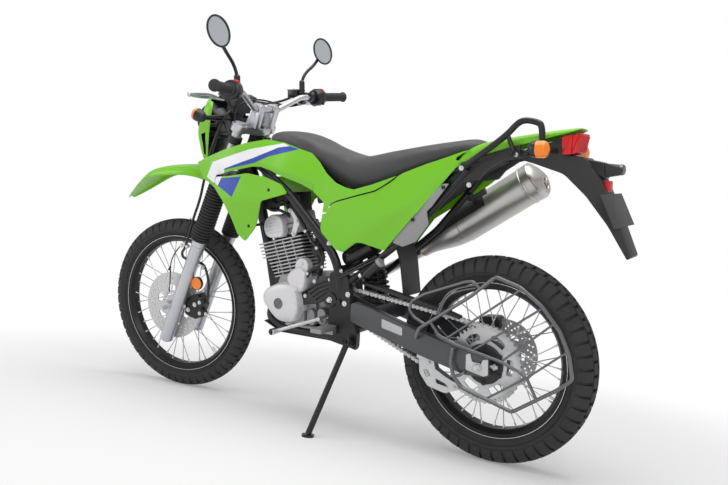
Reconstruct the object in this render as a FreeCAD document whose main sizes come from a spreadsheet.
import FreeCAD, Part
import math
import os

import Sketcher
from FreeCAD import Placement, Rotation, Vector

# A dual sport motorcycle leaning on its side stand.
# Every piece is drawn on the upright machine: X forward, Y to the rider's left, Z up from the
# ground, X = 0 midway between the axles. Pieces that steer are drawn in the fork's own frame.
# The parked lean, the pitch on its two tyres and the turned fork are then put in the Placements.

doc = FreeCAD.newDocument("DualSport")
sheet = doc.addObject("Spreadsheet::Sheet", "Sizes")

SIZES = {
    # Wheels
    "front_tyre_height": 67, "front_tyre_width": 72, "front_rim_radius": 274, "front_rim_width": 52,
    "rear_tyre_height": 81, "rear_tyre_width": 106, "rear_rim_radius": 241, "rear_rim_width": 66,
    "rim_depth": 24, "rim_wall": 4, "bead_height": 9, "wheel_gap": 5,
    "front_hub_radius": 26, "front_flange_radius": 42, "front_hub_width": 84,
    "rear_hub_radius": 34, "rear_flange_radius": 52, "rear_hub_width": 96,
    "flange_thickness": 7, "axle_radius": 8, "axle_gap": 0.5, "spoke_count": 36, "spoke_radius": 1.8,
    "front_disc_radius": 132.5, "rear_disc_radius": 110, "disc_thickness": 4,
    "front_disc_side": 60, "rear_disc_side": 78, "hub_boss_radius": 42, "spacer_radius": 15,
    "sprocket_teeth": 45, "chain_pitch": 15.875, "sprocket_thickness": 6, "chain_side": 82,
    # Steering head and fork, in the fork's frame
    "head_x": 343, "head_z": 941, "rake": 24, "turned": 6.9, "steering_lock": 45,
    "fork_lead": 26, "fork_side": 92, "axle_lead": 66, "axle_drop": 686,
    "stem_radius": 13, "head_tube_radius": 27, "head_tube_length": 172, "head_gap": 1.5,
    "fork_tube_radius": 18.5, "slider_radius": 26, "slider_top": 366, "slider_toe": 129,
    "axle_lug_radius": 24, "axle_lug_half": 17, "gaiter_radius": 38, "gaiter_ribs": 13, "lower_clamp_height": 34, "upper_clamp_height": 28,
    # Handlebar
    "bar_radius": 11, "bar_height": 186, "bar_lead": 2, "bar_clamp_side": 46, "bar_centre_half": 75,
    "bar_end_side": 421, "bar_end_back": 61, "bar_end_height": 283, "grip_radius": 16.5,
    "grip_length": 124, "mirror_radius": 55, "mirror_side": 336, "mirror_height": 430,
    # Chassis
    "spar_radius": 15, "down_tube_radius": 19, "cradle_radius": 12, "backbone_radius": 20,
    "plate_inner": 96, "plate_thickness": 22, "pivot_x": -165, "pivot_z": 455, "pivot_tube_radius": 20,
    "pivot_bolt_radius": 9, "rail_radius": 11,
    "rear_axle_x": -682.5, "rear_axle_z": 322, "swingarm_inner": 103, "swingarm_thickness": 28,
    "crank_x": 60, "crank_z": 425, "case_half_width": 78, "barrel_tilt": 14,
    "rear_case_half": 62, "fin_count": 11, "fin_pitch": 12.5, "fin_thickness": 3,
    "muffler_radius": 62, "muffler_side": 168, "muffler_cap": 26, "header_radius": 19,
    "plate_width": 226, "plate_height": 100, "signal_radius": 24,
    # Side stand
    "lean": 9, "stand_x": -215, "stand_side": 136, "stand_z": 330, "stand_radius": 10,
    "stand_fold": 100, "stand_foot_radius": 20, "stand_foot_thickness": 8, "stand_pin_radius": 6,
    "stand_eye_radius": 16, "stand_eye_width": 21, "stub_radius": 7, "stub_length": 13,
    # General
    "panel": 4, "seat_gap": 0.3,
}
for row, (alias, number) in enumerate(SIZES.items(), start=1):
    sheet.set(f"A{row}", alias)
    sheet.set(f"B{row}", str(number))
    sheet.setAlias(f"B{row}", alias)
doc.recompute()


class Size:
    """A number that remembers the sheet formula it comes from, so that properties can be bound to it."""

    def __init__(self, number, formula):
        self.number = float(number)
        self.formula = formula

    @staticmethod
    def of(thing):
        return thing if isinstance(thing, Size) else Size(thing, repr(float(thing)))

    def __float__(self):
        return self.number

    def __add__(self, other):
        other = Size.of(other)
        return Size(self.number + other.number, f"({self.formula} + {other.formula})")

    def __sub__(self, other):
        other = Size.of(other)
        return Size(self.number - other.number, f"({self.formula} - {other.formula})")

    def __mul__(self, other):
        other = Size.of(other)
        return Size(self.number * other.number, f"({self.formula} * {other.formula})")

    def __truediv__(self, other):
        other = Size.of(other)
        return Size(self.number / other.number, f"({self.formula} / {other.formula})")

    def __neg__(self):
        return Size(-self.number, f"(-1 * {self.formula})")

    def __rsub__(self, other):
        return Size.of(other) - self

    __radd__ = __add__
    __rmul__ = __mul__


class Sheet:
    """Each cell of the sheet as a Size, read by its alias."""

    def __getattr__(self, alias):
        return Size(sheet.get(alias), f"Sizes.{alias}")


S = Sheet()
nodes = {}

# Sketches and features


def origin_plane(body, role):
    for feature in body.Origin.OriginFeatures:
        if feature.Role == role:
            return feature
    raise ValueError(role)


def new_body(label):
    body = doc.addObject("PartDesign::Body", label)
    body.Label = label
    return body


def new_sketch(body, name, role, raised=0.0):
    sketch = body.newObject("Sketcher::SketchObject", name)
    sketch.AttachmentSupport = (origin_plane(body, role), [""])
    sketch.MapMode = "FlatFace"
    raised = Size.of(raised)
    if raised.number:
        sketch.AttachmentOffset = Placement(Vector(0, 0, raised.number), Rotation())
        sketch.setExpression("AttachmentOffset.Base.z", raised.formula)
    return sketch


def hold(sketch, constraint, size):
    """Adds a constraint and binds it to its size."""
    index = sketch.addConstraint(constraint)
    sketch.setExpression(f"Constraints[{index}]", size.formula)


def hold_point(sketch, edge, end, across, along):
    for kind, axis, distance in (("DistanceX", -2, across), ("DistanceY", -1, along)):
        distance = Size.of(distance)
        if abs(distance.number) < 1e-9:
            sketch.addConstraint(Sketcher.Constraint("PointOnObject", edge, end, axis))
        else:
            hold(sketch, Sketcher.Constraint(kind, edge, end, distance.number), distance)


def draw_outline(sketch, corners):
    """A closed outline of straight sides, each corner held by its two distances from the origin."""
    first = sketch.GeometryCount
    count = len(corners)
    for i in range(count):
        here, there = corners[i], corners[(i + 1) % count]
        sketch.addGeometry(Part.LineSegment(Vector(float(here[0]), float(here[1]), 0),
                                            Vector(float(there[0]), float(there[1]), 0)), False)
    for i in range(count):
        sketch.addConstraint(Sketcher.Constraint("Coincident", first + i, 2,
                                                 first + (i + 1) % count, 1))
    for i, (across, along) in enumerate(corners):
        hold_point(sketch, first + i, 1, across, along)


def draw_circle(sketch, across, along, radius):
    centre = Vector(float(across), float(along), 0)
    edge = sketch.addGeometry(Part.Circle(centre, Vector(0, 0, 1), float(radius)), False)
    hold_point(sketch, edge, 3, across, along)
    hold(sketch, Sketcher.Constraint("Radius", edge, float(radius)), Size.of(radius))


def pad(body, name, sketch, length, symmetric=True, backwards=False):
    feature = body.newObject("PartDesign::Pad", name)
    feature.Profile = sketch
    length = Size.of(length)
    feature.Length = length.number
    feature.setExpression("Length", length.formula)
    feature.Midplane = symmetric
    feature.Reversed = backwards
    return feature


def pocket_through(body, name, sketch):
    feature = body.newObject("PartDesign::Pocket", name)
    feature.Profile = sketch
    feature.Type = "ThroughAll"
    feature.Midplane = True
    return feature


def revolve(body, name, sketch, axis="V_Axis", cut=False):
    feature = body.newObject("PartDesign::Groove" if cut else "PartDesign::Revolution", name)
    feature.Profile = sketch
    feature.ReferenceAxis = (sketch, [axis])
    feature.Angle = 360
    return feature


def polar(body, name, originals, role, count):
    feature = body.newObject("PartDesign::PolarPattern", name)
    feature.Originals = originals
    feature.Axis = (origin_plane(body, role), [""])
    feature.Angle = 360
    count = Size.of(count)
    feature.Occurrences = round(count.number)
    feature.setExpression("Occurrences", count.formula)
    body.Tip = feature
    return feature


# Solids for the pieces that are bent, moulded or blended


def vec(point):
    return Vector(float(point[0]), float(point[1]), float(point[2]))


def corner_path(points, bends):
    """Straight runs joined by tangent arcs, one bend radius for each inner point."""
    points = [vec(p) for p in points]
    edges = []
    start = points[0]
    for i in range(1, len(points) - 1):
        before, corner, after = points[i - 1], points[i], points[i + 1]
        back = (before - corner).normalize()
        on = (after - corner).normalize()
        half = (math.pi - back.getAngle(on)) / 2
        room = 0.45 * min((before - corner).Length, (after - corner).Length)
        radius = min(float(bends[i - 1]), room / math.tan(half))
        reach = radius * math.tan(half)
        enter, leave = corner + back * reach, corner + on * reach
        middle = corner + (back + on).normalize() * (radius / math.cos(half) - radius)
        if (enter - start).Length > 1e-6:
            edges.append(Part.LineSegment(start, enter).toShape())
        edges.append(Part.Arc(enter, middle, leave).toShape())
        start = leave
    edges.append(Part.LineSegment(start, points[-1]).toShape())
    return Part.Wire(edges)


def tube(points, radius, bend=60):
    """A round bar or tube along straight runs and arcs."""
    bends = bend if isinstance(bend, (list, tuple)) else [bend] * (len(points) - 2)
    first, second = vec(points[0]), vec(points[1])
    if len(points) == 2:
        return Part.makeCylinder(float(radius), (second - first).Length, first, second - first)
    ring = Part.Wire(Part.makeCircle(float(radius), first, second - first))
    return corner_path(points, bends).makePipeShell([ring], True, True)


def outline_wire(corners, level=0.0):
    """A closed outline in the X-Z plane at a Y level. A corner's third number rounds it."""
    count = len(corners)
    places = [Vector(float(c[0]), float(level), float(c[1])) for c in corners]
    ends = []
    for i in range(count):
        before, corner, after = places[i - 1], places[i], places[(i + 1) % count]
        rounding = float(corners[i][2]) if len(corners[i]) > 2 else 0.0
        if rounding <= 0:
            ends.append((corner, None, corner))
            continue
        back, on = (before - corner).normalize(), (after - corner).normalize()
        half = (math.pi - back.getAngle(on)) / 2
        room = 0.48 * min((before - corner).Length, (after - corner).Length)
        rounding = min(rounding, room / math.tan(half))
        reach = rounding * math.tan(half)
        middle = corner + (back + on).normalize() * (rounding / math.cos(half) - rounding)
        ends.append((corner + back * reach, middle, corner + on * reach))
    edges = []
    for i in range(count):
        enter, middle, leave = ends[i]
        if middle is not None:
            edges.append(Part.Arc(enter, middle, leave).toShape())
        following = ends[(i + 1) % count][0]
        if (following - leave).Length > 1e-6:
            edges.append(Part.LineSegment(leave, following).toShape())
    return Part.Wire(edges)


def slab(corners, inner, outer):
    """An outline in side view, drawn out across the machine from one Y level to another."""
    face = Part.Face(outline_wire(corners, inner))
    return face.extrude(Vector(0, float(outer) - float(inner), 0))


def skin(corners, rows, thickness):
    """A moulded panel: a side-view outline cut out of a curved sheet.

    Each row of the sheet is a list of (x, y, z) points, and y is the outer face.
    """
    surface = Part.BSplineSurface()
    surface.interpolate([[vec(p) for p in row] for row in rows])
    sheet_solid = surface.toShape().extrude(Vector(0, -float(thickness), 0))
    levels = [p[1] for row in rows for p in row]
    cutter = slab(corners, min(levels) - 60, max(levels) + 60)
    return cutter.common(sheet_solid)


def mirrored(shape):
    return shape.mirror(Vector(0, 0, 0), Vector(0, 1, 0))


def both_sides(shape):
    return shape.fuse(mirrored(shape)) if touches_middle(shape) else Part.makeCompound(
        [shape, mirrored(shape)])


def touches_middle(shape):
    return shape.BoundBox.YMin < 0 < shape.BoundBox.YMax


def loft(sections, ruled=False):
    """A solid through closed sections, each a list of points."""
    wires = [Part.makePolygon([vec(p) for p in section + section[:1]]) for section in sections]
    return Part.makeLoft(wires, True, ruled)


def cylinder_y(x, z, radius, inner, outer):
    """A round boss whose axis runs across the machine."""
    inner, outer = float(inner), float(outer)
    return Part.makeCylinder(float(radius), outer - inner, Vector(float(x), inner, float(z)),
                             Vector(0, 1, 0))


def feature(label, shape):
    piece = doc.addObject("Part::Feature", label)
    piece.Label = label
    piece.Shape = shape
    return piece


def one(*shapes):
    """Joins solids that touch into one."""
    joined = shapes[0]
    for shape in shapes[1:]:
        joined = joined.fuse(shape)
    return joined.removeSplitter()


# Frames

rake = math.radians(float(S.rake))
forward = Vector(math.cos(rake), 0, math.sin(rake))
upward = Vector(-math.sin(rake), 0, math.cos(rake))
across = Vector(0, 1, 0)
head = Vector(float(S.head_x), 0, float(S.head_z))
fork_frame = Placement(head, Rotation(across, -float(S.rake)))
turned_fork = fork_frame.multiply(Placement(Vector(), Rotation(Vector(0, 0, 1), float(S.turned))))
front_axle = Vector(float(S.axle_lead), 0, -float(S.axle_drop))
rear_axle = Vector(float(S.rear_axle_x), 0, float(S.rear_axle_z))
gap = S.seat_gap


def tyre_corners(rim_radius, height, width, rim_width):
    """Half of a tyre's section, from its bead in the rim to its crown: radius and distance from the middle."""
    half = width / 2
    radius = rim_radius + height
    flange = rim_width / 2 - S.rim_wall - gap * 1.2
    sunk = S.bead_height - gap
    share = sunk / (sunk + height * 0.45)
    bead = (flange - half * share) / (1 - share)
    return [(rim_radius - sunk, bead), (rim_radius + height * 0.45, half),
            (radius - height * 0.17, half * 0.8), (radius, half * 0.36)]


front_section = tyre_corners(S.front_rim_radius, S.front_tyre_height, S.front_tyre_width, S.front_rim_width)
rear_section = tyre_corners(S.rear_rim_radius, S.rear_tyre_height, S.rear_tyre_width, S.rear_rim_width)


def lowest(axle_centre, axle, section):
    """How low the corners of a tyre's section reach."""
    upright = math.sqrt(1 - axle.z ** 2)
    return axle_centre.z - max(float(radius) * upright + float(side) * abs(axle.z) for radius, side in section)


def parked_rotation(pitch):
    return Rotation(Vector(1, 0, 0), -float(S.lean)).multiply(Rotation(across, pitch))


def tyre_heights(pitch):
    turn = parked_rotation(pitch)
    front_centre = turn.multVec(turned_fork.multVec(front_axle))
    front_way = turn.multVec(turned_fork.Rotation.multVec(across))
    front = lowest(front_centre, front_way, front_section)
    rear = lowest(turn.multVec(rear_axle), turn.multVec(across), rear_section)
    return front, rear


# The pitch at which both tyres touch the ground, by halving the range
low, high = -5.0, 5.0
for _ in range(60):
    pitch = (low + high) / 2
    front, rear = tyre_heights(pitch)
    if front > rear:
        low = pitch
    else:
        high = pitch
standing = Placement(Vector(0, 0, -tyre_heights(pitch)[1]), parked_rotation(pitch))


def keep(label, piece, place=Placement(), steered=False):
    nodes[label] = (piece, place, steered)


def keep_shapes(label, shapes, steered=False, place=Placement()):
    """One node of solids that don't touch."""
    keep(label, feature(label, Part.makeCompound(list(shapes))), place, steered)


def trimmed(piece, seat, way, root):
    """Cuts a piece off just short of its seat and keeps the part at its root."""
    near = seat.copy()
    near.translate(way * -float(gap))
    ends = piece.cut(near).Solids
    return min(ends, key=lambda solid: solid.distToShape(Part.Vertex(root))[0])


# Wheels


def make_tyre(label, section):
    """The tyre's section turned round the axle."""
    body = new_body(label)
    sketch = new_sketch(body, label + "_section", "XY_Plane")
    draw_outline(sketch, section + [(radius, -side) for radius, side in reversed(section)])
    revolve(body, label + "_carcass", sketch)
    return body


def make_rim(label, radius, width):
    """The rim's drop-centre section turned round the axle."""
    body = new_body(label)
    half = width / 2
    seat = radius - S.bead_height
    well = radius - S.rim_depth
    wall = S.rim_wall
    corners = [
        (radius, half), (radius, half - wall), (seat - wall / 2, half - wall),
        (well + wall, half / 2.6), (well + wall, half / -2.6), (seat - wall / 2, wall - half),
        (radius, wall - half), (radius, -half), (seat - wall, -half),
        (well, half / -2), (well, half / 2), (seat - wall, half),
    ]
    sketch = new_sketch(body, label + "_section", "XY_Plane")
    draw_outline(sketch, corners)
    revolve(body, label + "_hoop", sketch)
    return body


def spoke_section(centre, way):
    """Six corners round a spoke."""
    along = Vector(way).normalize()
    side_way = along.cross(across).normalize()
    other = along.cross(side_way)
    radius = float(S.spoke_radius)
    ring = []
    for i in range(7):
        angle = math.pi / 3 * i
        ring.append(centre + side_way * (radius * math.cos(angle)) + other * (radius * math.sin(angle)))
    return ring


def make_spokes(radius_at_hub, radius_at_rim, hub_side):
    """Crossed spokes in pairs on each flange, from the hub's flange to the rim's well."""
    count = round(float(S.spoke_count))
    spokes = []
    cross = math.radians(62)
    for i in range(count):
        side = 1 if i % 2 == 0 else -1
        lay = 1 if (i // 2) % 2 == 0 else -1
        at_rim = 2 * math.pi * i / count
        at_hub = at_rim + lay * cross
        near = Vector(radius_at_hub * math.cos(at_hub), side * hub_side, radius_at_hub * math.sin(at_hub))
        far = Vector(radius_at_rim * math.cos(at_rim), side * 6, radius_at_rim * math.sin(at_rim))
        way = far - near
        ring = Part.makePolygon(spoke_section(near, way))
        spokes.append(Part.Face(ring).extrude(way))
    return spokes


def make_hub(label, radius, flange, width, rim_radius, left, right):
    """A waisted hub barrel with two flanges, bored for its axle, and its spokes.

    Left and right each give the seat of the boss on that side and the end of its spacer.
    """
    barrel = new_body(label + "_barrel")
    half = width / 2
    bore = S.axle_radius + S.axle_gap
    rim_side = half - S.flange_thickness
    boss, spacer = S.hub_boss_radius, S.spacer_radius
    corners = [
        (bore, left[1]), (spacer, left[1]), (spacer, left[0]), (boss, left[0]), (boss, half + 2),
        (flange, half), (flange, rim_side), (radius, rim_side - 8), (radius, 8 - rim_side),
        (flange, -rim_side), (flange, -half), (boss, -half - 2), (boss, -right[0]), (spacer, -right[0]),
        (spacer, -right[1]), (bore, -right[1]),
    ]
    sketch = new_sketch(barrel, label + "_section", "XY_Plane")
    draw_outline(sketch, corners)
    revolve(barrel, label + "_turned", sketch)
    doc.recompute()
    well = float(rim_radius - S.rim_depth - gap) - 0.5
    spokes = make_spokes(float(flange) - 6, well, float(half - S.flange_thickness / 2))
    return feature(label, barrel.Shape.fuse(spokes).removeSplitter())


def make_disc(label, radius, inner, windows):
    """A brake disc with a ring of windows between its carrier and its band."""
    body = new_body(label)
    sketch = new_sketch(body, label + "_plate", "XZ_Plane")
    draw_circle(sketch, 0, 0, radius)
    draw_circle(sketch, 0, 0, inner)
    pad(body, label + "_pad", sketch, S.disc_thickness)
    window = new_sketch(body, label + "_window", "XZ_Plane")
    draw_circle(window, radius * 0.56, 0, radius * 0.11)
    cut = pocket_through(body, label + "_cut", window)
    polar(body, label + "_windows", [cut], "Y_Axis", windows)
    return body


def make_sprocket(label, bore):
    """The rear sprocket: a toothed plate with windows."""
    body = new_body(label)
    tip = S.chain_pitch * S.sprocket_teeth / (2 * math.pi) + 4
    plate = new_sketch(body, label + "_plate", "XZ_Plane")
    draw_circle(plate, 0, 0, tip)
    draw_circle(plate, 0, 0, bore)
    pad(body, label + "_pad", plate, S.sprocket_thickness)
    tooth_gap = new_sketch(body, label + "_gap", "XZ_Plane")
    half = S.chain_pitch * 0.36
    draw_outline(tooth_gap, [(tip + 2, half), (tip - 8, half * 0.55), (tip - 8, half * -0.55), (tip + 2, -half)])
    cut = pocket_through(body, label + "_gap_cut", tooth_gap)
    window = new_sketch(body, label + "_window", "XZ_Plane")
    draw_circle(window, tip * 0.66, 0, tip * 0.13)
    opening = pocket_through(body, label + "_opening", window)
    doc.recompute()
    polar(body, label + "_teeth", [cut], "Y_Axis", S.sprocket_teeth)
    polar(body, label + "_windows", [opening], "Y_Axis", 6)
    return body


front_place = Placement(front_axle, Rotation())
rear_place = Placement(rear_axle, Rotation())
spacer_end = S.fork_side - S.axle_lug_half - S.wheel_gap
rear_spacer_end = S.swingarm_inner - S.wheel_gap
disc_seat = S.front_disc_side - S.disc_thickness / 2 - gap
rear_disc_seat = S.rear_disc_side - S.disc_thickness / 2 - gap
sprocket_seat = S.chain_side - S.sprocket_thickness / 2 - gap
disc_bore = S.spacer_radius + 12

keep("front_tyre", make_tyre("front_tyre", front_section), front_place, True)
keep("rear_tyre", make_tyre("rear_tyre", rear_section), rear_place)
keep("front_rim", make_rim("front_rim", S.front_rim_radius, S.front_rim_width), front_place, True)
keep("rear_rim", make_rim("rear_rim", S.rear_rim_radius, S.rear_rim_width), rear_place)
keep("front_hub", make_hub("front_hub", S.front_hub_radius, S.front_flange_radius, S.front_hub_width,
                           S.front_rim_radius, (disc_seat, spacer_end), (S.front_hub_width / 2 + 6, spacer_end)),
     front_place, True)
keep("rear_hub", make_hub("rear_hub", S.rear_hub_radius, S.rear_flange_radius, S.rear_hub_width,
                          S.rear_rim_radius, (sprocket_seat, rear_spacer_end),
                          (rear_disc_seat, rear_spacer_end)), rear_place)
keep("front_disc", make_disc("front_disc", S.front_disc_radius, disc_bore, 6),
     front_place.multiply(Placement(Vector(0, float(S.front_disc_side), 0), Rotation())), True)
keep("rear_disc", make_disc("rear_disc", S.rear_disc_radius, disc_bore, 6),
     rear_place.multiply(Placement(Vector(0, -float(S.rear_disc_side), 0), Rotation())))
keep("rear_sprocket", make_sprocket("rear_sprocket", disc_bore),
     rear_place.multiply(Placement(Vector(0, float(S.chain_side), 0), Rotation())))

# Fork, in its own frame: X forward of the steering axis, Z up along it from the head's middle


def turned_pair(section):
    """Two like turned pieces, one on each fork leg, the left one first."""
    profile = Part.makePolygon([Vector(float(r), 0, float(z)) for r, z in section + section[:1]])
    turned = Part.Face(profile).revolve(Vector(), Vector(0, 0, 1), 360)
    shapes = []
    for side in (1, -1):
        copy = turned.copy()
        copy.translate(Vector(float(S.fork_lead), side * float(S.fork_side), 0))
        shapes.append(copy)
    return shapes


head_half = S.head_tube_length / 2
clamp_low_top = -(head_half + S.head_gap)
clamp_low_bottom = clamp_low_top - S.lower_clamp_height
clamp_high_bottom = head_half + S.head_gap
clamp_high_top = clamp_high_bottom + S.upper_clamp_height
slider_bottom = S.axle_drop + S.slider_toe
tube_foot = 60 - slider_bottom

sliders = turned_pair([
    (0, -slider_bottom), (S.slider_radius - 6, -slider_bottom), (S.slider_radius, 6 - slider_bottom),
    (S.slider_radius, -S.slider_top - 26), (S.slider_radius + 3, -S.slider_top - 22),
    (S.slider_radius + 3, -S.slider_top), (0, -S.slider_top),
])
slider_shapes = []
for side, slider in zip((1, -1), sliders):
    middle = side * float(S.fork_side)
    half = float(S.axle_lug_half)
    lug = Part.makeCylinder(float(S.axle_lug_radius), 2 * half,
                            vec((S.axle_lead, middle - half, -S.axle_drop)), across)
    arm = Part.makeBox(float(S.axle_lead - S.fork_lead), 2 * half - 4, 2 * float(S.axle_lug_radius) - 2,
                       vec((S.fork_lead, middle - half + 2, -S.axle_drop - S.axle_lug_radius + 1)))
    bore = Part.makeCylinder(float(S.fork_tube_radius + gap), float(slider_bottom),
                             vec((S.fork_lead, middle, tube_foot)))
    axle_hole = Part.makeCylinder(float(S.axle_radius + gap), 60,
                                  vec((S.axle_lead, middle - 30, -S.axle_drop)), across)
    slider_shapes.append(slider.fuse([lug, arm]).cut([bore, axle_hole]))
keep_shapes("fork_sliders", slider_shapes, True)


def gaiter_section():
    """The bellows: one fold for each rib, from the slider's top to the lower clamp."""
    low, high = -float(S.slider_top) + float(gap), float(clamp_low_bottom) - float(gap)
    ribs = round(float(S.gaiter_ribs))
    outer, fold = float(S.gaiter_radius), float(S.gaiter_radius) - 7
    inner = float(S.fork_tube_radius + gap)
    section = [(inner, low), (fold, low)]
    step = (high - low) / ribs
    for i in range(ribs):
        section.append((outer, low + step * (i + 0.5)))
        section.append((fold, low + step * (i + 1)))
    section.append((inner, high))
    return section


keep_shapes("fork_gaiters", turned_pair(gaiter_section()), True)
tube_top = clamp_high_top + 6
keep_shapes("fork_tubes", turned_pair([
    (0, tube_foot + gap), (S.fork_tube_radius, tube_foot + gap), (S.fork_tube_radius, tube_top), (0, tube_top),
]), True)


def make_clamp(label, bottom, height, stem_reach):
    """A triple clamp: two split eyes for the fork tubes on a waisted bridge round the stem."""
    body = new_body(label)
    side, lead = S.fork_side, S.fork_lead
    eye = S.fork_tube_radius + 11
    heel = S.stem_radius + 7
    plate = new_sketch(body, label + "_bridge", "XY_Plane", bottom)
    draw_outline(plate, [
        (lead + 18, side), (lead + 22, side * 0.35), (lead + 22, side * -0.35), (lead + 18, -side),
        (lead - 20, -side), (-heel, -heel), (-heel, heel), (lead - 20, side),
    ])
    pad(body, label + "_plate", plate, height, symmetric=False)
    eyes = new_sketch(body, label + "_eyes", "XY_Plane", bottom)
    draw_circle(eyes, lead, side, eye)
    draw_circle(eyes, lead, -side, eye)
    pad(body, label + "_eye_pad", eyes, height, symmetric=False)
    bores = new_sketch(body, label + "_bores", "XY_Plane")
    draw_circle(bores, lead, side, S.fork_tube_radius + gap)
    draw_circle(bores, lead, -side, S.fork_tube_radius + gap)
    if stem_reach is None:
        draw_circle(bores, 0, 0, S.stem_radius + gap)
    pocket_through(body, label + "_bore", bores)
    if stem_reach is not None:
        stem = new_sketch(body, label + "_stem_ring", "XY_Plane", bottom)
        draw_circle(stem, 0, 0, S.stem_radius)
        pad(body, label + "_stem", stem, stem_reach, symmetric=False)
    return body


stem_reach = clamp_high_top + 8 - clamp_low_bottom
keep("lower_clamp", make_clamp("lower_clamp", clamp_low_bottom, S.lower_clamp_height, stem_reach),
     steered=True)
upper_clamp = make_clamp("upper_plate", clamp_high_bottom, S.upper_clamp_height, None)

# Handlebar and what it carries, in the fork's frame

bar_bend = (-8, 190, 248)
bar_route = [
    (-S.bar_end_back, -S.bar_end_side, S.bar_end_height), (bar_bend[0], -bar_bend[1], bar_bend[2]),
    (S.bar_lead, -S.bar_centre_half, S.bar_height), (S.bar_lead, S.bar_centre_half, S.bar_height),
    bar_bend, (-S.bar_end_back, S.bar_end_side, S.bar_end_height),
]
keep("handlebar", feature("handlebar", tube(bar_route, S.bar_radius, [70, 55, 55, 70])), steered=True)

risers = []
riser_base = float(clamp_high_top + gap)
for side in (1, -1):
    centre = side * float(S.bar_clamp_side)
    column = slab([(S.bar_lead - 24, riser_base, 4), (S.bar_lead - 19, S.bar_height + 20, 12),
                   (S.bar_lead + 19, S.bar_height + 20, 12), (S.bar_lead + 24, riser_base, 4)],
                  centre - 15, centre + 15)
    bore = Part.makeCylinder(float(S.bar_radius + gap), 60,
                             vec((S.bar_lead, centre - 30, S.bar_height)), across)
    risers.append(column.cut(bore))
doc.recompute()
keep_shapes("upper_clamp", [upper_clamp.Shape.copy()] + risers, True)


def along_bar(side, start, stop):
    """Two points of the bar's outer stretch, at distances from its end, and the way between them."""
    end = vec((-S.bar_end_back, side * float(S.bar_end_side), S.bar_end_height))
    way = (vec((bar_bend[0], side * bar_bend[1], bar_bend[2])) - end).normalize()
    return end + way * float(start), end + way * float(stop), way


def on_bar(side, start, stop, outer, inner):
    """A sleeve on the bar's outer stretch."""
    first, last, way = along_bar(side, start, stop)
    sleeve = Part.makeCylinder(float(outer), (last - first).Length, first, way)
    return sleeve.cut(Part.makeCylinder(float(inner), (last - first).Length + 2, first - way, way))


grip_inner = S.bar_radius + gap
end_cap = 3
grips = []
controls = []
levers = []
stems = []
glasses = []
perch_start, perch_stop = S.grip_length + 46, S.grip_length + 72
for side in (1, -1):
    first, last, way = along_bar(side, -end_cap, -float(gap))
    cap = Part.makeCylinder(float(S.grip_radius), (last - first).Length, first, way)
    collar = on_bar(side, S.grip_length - 6, S.grip_length, 21, grip_inner)
    grips.append(on_bar(side, -0.5, S.grip_length, S.grip_radius, grip_inner).fuse([cap, collar]))

    pod = on_bar(side, S.grip_length + 2, S.grip_length + 46, 23, grip_inner)
    perch = on_bar(side, perch_start, perch_stop, 18, grip_inner)
    first, last, way = along_bar(side, perch_start, perch_stop)
    base = (first + last) * 0.5
    block = Part.makeBox(34, 34, 16, Vector(base.x + 10, base.y - side * 8 - 17, base.z - 8))
    pivot = Vector(20, side * 250, 209)
    lever_arm = tube([base, pivot + Vector(0, 0, 13)], 9)
    boss = Part.makeCylinder(11, 14, pivot + Vector(0, 0, 6 + float(gap)))
    inner_bar = Part.makeCylinder(float(grip_inner), 160, first - way * 80, way)
    control = pod.fuse([perch, block, lever_arm, boss])
    if side < 0:
        cup = Part.makeBox(44, 54, 30, Vector(base.x + 18, base.y - side * 4 - 18, base.z - 2))
        control = control.fuse(cup)
    controls.append(control.cut(inner_bar))
    eye = Part.makeCylinder(11, 10, pivot - Vector(0, 0, 4))
    tip = Vector(38, side * 400, 212)
    blade = tube([pivot, pivot + Vector(16, side * 36, 0), tip], 5.5, 40)
    knob = Part.makeSphere(8, tip)
    levers.append(eye.fuse([blade, knob]))

    foot = Vector(8, side * 232, base.z + 8 + float(gap))
    if side < 0:
        foot = foot + Vector(16, 12 * -side, 20)
    centre = vec((55, side * float(S.mirror_side), S.mirror_height))
    bend = Vector(30, side * 232, 322)
    neck = Vector(68, side * 300, 392)
    facing = Vector(-1, -side * 0.18, 0.02).normalize()
    stem = tube([foot, foot + Vector(0, 0, 16), bend, neck, centre + facing * -9], 5, [8, 24, 30])
    bowl = Part.makeCone(float(S.mirror_radius) - 22, float(S.mirror_radius), 16, centre - facing * 14, facing)
    recess = Part.makeCylinder(float(S.mirror_radius) - 7, 10, centre - facing * 2, facing)
    stems.append(stem.fuse(bowl).cut(recess))
    glasses.append(Part.makeCylinder(float(S.mirror_radius) - 7 - float(gap), 2.5,
                                     centre - facing * (2 - float(gap)), facing))
keep_shapes("grips", grips, True)
keep_shapes("bar_controls", controls, True)
keep_shapes("levers", levers, True)
keep_shapes("mirrors", stems, True)
keep_shapes("mirror_glasses", glasses, True)

# Headlight cowl: a mask lofted from brow to chin, with the lamp in its opening


def cowl_ring(height, nose, side, back):
    """One level of the mask: its outer face and, a panel's thickness inside it, its inner face."""
    wall = float(S.panel)
    outer = []
    inner = []
    for ring, inset in ((outer, 0.0), (inner, wall)):
        tip, flank = nose - inset, side - inset
        ring += [(back, flank, height), (tip - 45, flank * 0.94, height), (tip - 8, flank * 0.62, height),
                 (tip - 8, -flank * 0.62, height), (tip - 45, -flank * 0.94, height), (back, -flank, height)]
    return outer + inner[::-1]


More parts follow.
